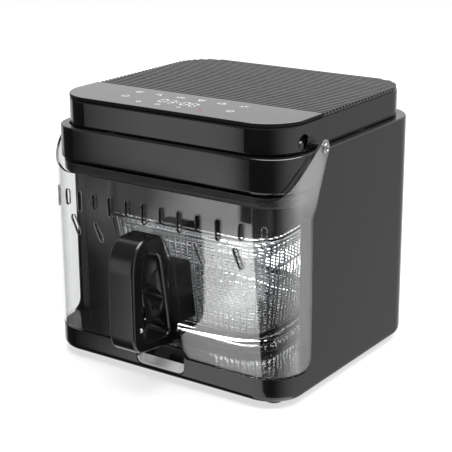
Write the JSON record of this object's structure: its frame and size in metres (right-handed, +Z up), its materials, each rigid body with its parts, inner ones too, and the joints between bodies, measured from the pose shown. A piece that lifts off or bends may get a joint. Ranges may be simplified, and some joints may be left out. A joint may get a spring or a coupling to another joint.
{
  "type": "glass bowl hot air fryer",
  "caption": "Countertop hot-air fryer: dark C-shaped housing with touch panel lid, hinged clear front guard and a glass bowl with a loop handle and wire basket.",
  "frame": {"origin": "middle of the object's whole footprint, handle included, on the surface the feet stand on", "axes": "+X to the object's right, -Y to its front (the handle and the clear guard), +Z up"},
  "size_m": [0.3058, 0.34, 0.284],
  "materials": {
    "housing": "moulded, fine satin gloss, near black grey",
    "inner_plastic": "moulded, fine matt, near black",
    "ribbed_plastic": "moulded, satin, narrow raised ribs",
    "grip_plastic": "moulded, soft satin, black",
    "panel_gloss": "polished grey touch surface with white icons",
    "clear_plastic": "clear moulded polycarbonate, polished",
    "bowl_glass": "clear heatproof glass, polished",
    "lamp_glass": "frosted lamp lens",
    "bright_steel": "bright rolled stainless steel",
    "wire_steel": "bright plated wire",
    "heater_steel": "heat-darkened heater sheath",
    "motor_steel": "plain zinc-plated motor can",
    "dark_steel": "blackened screws",
    "aluminium": "pressed, plain",
    "circuit_board": "green board with dark parts",
    "rubber": "moulded, matt black"
  },
  "bodies": {
    "chassis": {"outer_housing": "housing", "bottom_cover": "inner_plastic", "foot_front_left": "rubber", "foot_front_right": "rubber", "foot_rear_left": "rubber", "foot_rear_right": "rubber", "base_deck": "housing", "cavity_liner": "inner_plastic", "rear_reflector": "bright_steel", "rear_grille": "inner_plastic", "cord_gland": "rubber", "head_fascia": "housing", "head_floor": "inner_plastic", "lid_shell": "housing", "control_panel": "panel_gloss", "ribbed_cover": "ribbed_plastic", "control_board": "circuit_board", "display_module": "inner_plastic", "reflector_plate": "bright_steel", "heater_coil": "heater_steel", "heater_bridge": "bright_steel", "fan_guard": "bright_steel", "lamp_lens": "lamp_glass", "lamp_housing": "inner_plastic", "temperature_probe": "bright_steel", "thermal_cutout": "aluminium", "motor_bracket": "bright_steel", "motor_can": "motor_steel", "power_board": "circuit_board", "door_switch": "inner_plastic", "hinge_bracket_left": "bright_steel", "hinge_bracket_right": "bright_steel", "hinge_bush_left": "inner_plastic", "hinge_bush_right": "inner_plastic"},
    "guard": {"clear_guard": "clear_plastic", "pivot_screw_left": "bright_steel", "pivot_screw_right": "bright_steel"},
    "bowl_unit": {"glass_bowl": "bowl_glass", "wire_basket": "wire_steel", "lower_rack": "wire_steel", "upper_rack": "wire_steel", "handle_bracket": "grip_plastic", "handle_grip": "grip_plastic", "handle_screw_upper": "dark_steel", "handle_screw_lower": "dark_steel"},
    "rotor": {"motor_shaft": "bright_steel", "cooking_fan": "aluminium", "cooling_fan": "inner_plastic", "fan_nut": "bright_steel"},
    "plunger": {"interlock_plunger": "bright_steel"}
  },
  "joints": [
    {"name": "guard_hinge", "type": "hinge", "parent": "chassis", "child": "guard", "pos_m": [0, -0.04, 0.2535], "axis": [-1, 0, 0], "range_deg": [0, 95]},
    {"name": "bowl_slide", "type": "slide", "parent": "chassis", "child": "bowl_unit", "axis": [0, -1, 0], "range_m": [0, 0.235]},
    {"name": "fan_spin", "type": "hinge", "parent": "chassis", "child": "rotor", "pos_m": [0, 0.03, 0.2], "axis": [0, 0, 1], "continuous": true},
    {"name": "plunger_press", "type": "slide", "parent": "chassis", "child": "plunger", "axis": [0, 1, 0], "range_m": [0, 0.003], "stiffness_N_per_m": 300}
  ],
  "couplings": [
    {"joint": "bowl_slide", "follows": "guard_hinge", "m_per_rad": 0.14}
  ]
}
